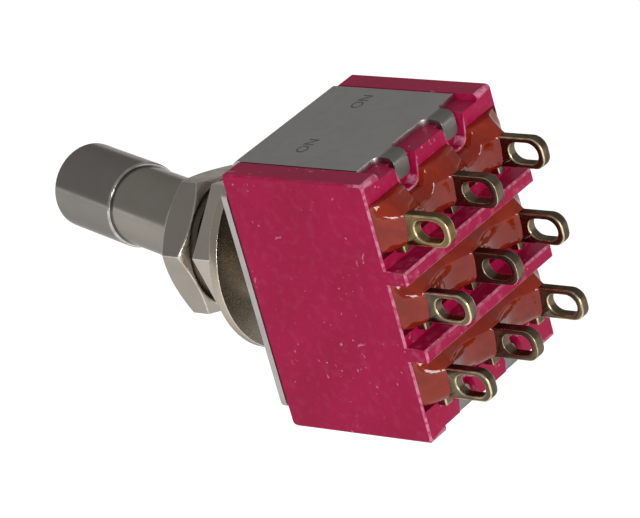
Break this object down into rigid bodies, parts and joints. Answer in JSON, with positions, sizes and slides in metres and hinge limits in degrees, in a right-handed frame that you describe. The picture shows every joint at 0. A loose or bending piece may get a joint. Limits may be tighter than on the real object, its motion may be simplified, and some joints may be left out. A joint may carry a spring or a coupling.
{
  "type": "locking toggle switch",
  "caption": "Locking toggle switch: crimson moulded case in a clawed steel frame, potted solder lugs, threaded bushing with hex nuts, and a lever with a pull-to-unlock sleeve.",
  "frame": {"origin": "where the bushing axis leaves the outer face of the frame plate", "axes": "+Z along the stack of the three poles, up to the flange with the lettering; the lever points toward -Y; +X is the throw of the lever, which rests leaning toward -X"},
  "size_m": [0.0137, 0.0376, 0.0164],
  "materials": {
    "case_moulding": "crimson diallyl phthalate moulding, semi-gloss",
    "frame_steel": "satin stainless sheet",
    "nickel_plate": "bright nickel plate",
    "lever_nickel": "bright nickel plate",
    "stem_steel": "turned steel",
    "spring_wire": "spring wire",
    "carriage_nylon": "natural nylon",
    "contact_brass": "brass",
    "terminal_brass": "tarnished gold-flashed brass",
    "epoxy": "terracotta potting, glossy"
  },
  "bodies": {
    "switch_body": {"case": "case_moulding", "frame_bracket": "frame_steel", "bushing": "nickel_plate", "locating_ring": "nickel_plate", "lock_washer": "nickel_plate", "terminal_top_far": "terminal_brass", "terminal_top_common": "terminal_brass", "terminal_top_near": "terminal_brass", "terminal_middle_far": "terminal_brass", "terminal_middle_common": "terminal_brass", "terminal_middle_near": "terminal_brass", "terminal_bottom_far": "terminal_brass", "terminal_bottom_common": "terminal_brass", "terminal_bottom_near": "terminal_brass", "seal_top": "epoxy", "seal_middle": "epoxy", "seal_bottom": "epoxy"},
    "lever": {"lever": "stem_steel", "lever_pin": "stem_steel", "stem_collar": "stem_steel", "lock_spring": "spring_wire"},
    "lock_sleeve": {"lock_sleeve": "lever_nickel", "lock_cap": "lever_nickel"},
    "inner_nut": {"inner_nut": "nickel_plate"},
    "outer_nut": {"outer_nut": "nickel_plate"},
    "carriage": {"carriage": "carriage_nylon", "plunger_spring_top": "spring_wire", "plunger_spring_middle": "spring_wire", "plunger_spring_bottom": "spring_wire"},
    "rocker_top": {"rocker_top": "contact_brass"},
    "plunger_top": {"plunger_top": "carriage_nylon"},
    "rocker_middle": {"rocker_middle": "contact_brass"},
    "plunger_middle": {"plunger_middle": "carriage_nylon"},
    "rocker_bottom": {"rocker_bottom": "contact_brass"},
    "plunger_bottom": {"plunger_bottom": "carriage_nylon"}
  },
  "joints": [
    {"name": "lever_throw", "type": "hinge", "parent": "switch_body", "child": "lever", "pos_m": [0, -0.00573, 0], "axis": [0, 0, 1], "range_deg": [0, 33.62]},
    {"name": "sleeve_pull", "type": "slide", "parent": "lever", "child": "lock_sleeve", "axis": [-0.2892, -0.9573, 0], "range_m": [0, 0.002], "stiffness_N_per_m": 350, "springref_m": -0.003, "deforming": ["lock_spring"]},
    {"name": "carriage_slide", "type": "slide", "parent": "switch_body", "child": "carriage", "axis": [1, 0, 0], "range_m": [-0.0044, 0]},
    {"name": "inner_nut_turn", "type": "hinge", "parent": "switch_body", "child": "inner_nut", "pos_m": [0, -0.0046, 0], "axis": [0, -1, 0], "range_deg": [-180, 180]},
    {"name": "outer_nut_turn", "type": "hinge", "parent": "switch_body", "child": "outer_nut", "pos_m": [0, -0.00735, 0], "axis": [0, -1, 0], "range_deg": [-180, 180]},
    {"name": "rocker_top_tilt", "type": "hinge", "parent": "switch_body", "child": "rocker_top", "pos_m": [0, 0.0067, 0.0049], "axis": [0, 0, 1], "range_deg": [-17, 0]},
    {"name": "plunger_top_press", "type": "slide", "parent": "carriage", "child": "plunger_top", "axis": [0, -1, 0], "range_m": [0, 0.0003], "stiffness_N_per_m": 700, "springref_m": -0.0006, "deforming": ["plunger_spring_top"]},
    {"name": "rocker_middle_tilt", "type": "hinge", "parent": "switch_body", "child": "rocker_middle", "pos_m": [0, 0.0067, 0], "axis": [0, 0, 1], "range_deg": [-17, 0]},
    {"name": "plunger_middle_press", "type": "slide", "parent": "carriage", "child": "plunger_middle", "axis": [0, -1, 0], "range_m": [0, 0.0003], "stiffness_N_per_m": 700, "springref_m": -0.0006, "deforming": ["plunger_spring_middle"]},
    {"name": "rocker_bottom_tilt", "type": "hinge", "parent": "switch_body", "child": "rocker_bottom", "pos_m": [0, 0.0067, -0.0049], "axis": [0, 0, 1], "range_deg": [-17, 0]},
    {"name": "plunger_bottom_press", "type": "slide", "parent": "carriage", "child": "plunger_bottom", "axis": [0, -1, 0], "range_m": [0, 0.0003], "stiffness_N_per_m": 700, "springref_m": -0.0006, "deforming": ["plunger_spring_bottom"]}
  ],
  "couplings": [
    {"joint": "carriage_slide", "follows": "lever_throw", "m_per_rad": -0.0074914},
    {"joint": "rocker_top_tilt", "follows": "lever_throw", "ratio": -0.50565},
    {"joint": "rocker_middle_tilt", "follows": "lever_throw", "ratio": -0.50565},
    {"joint": "rocker_bottom_tilt", "follows": "lever_throw", "ratio": -0.50565}
  ]
}
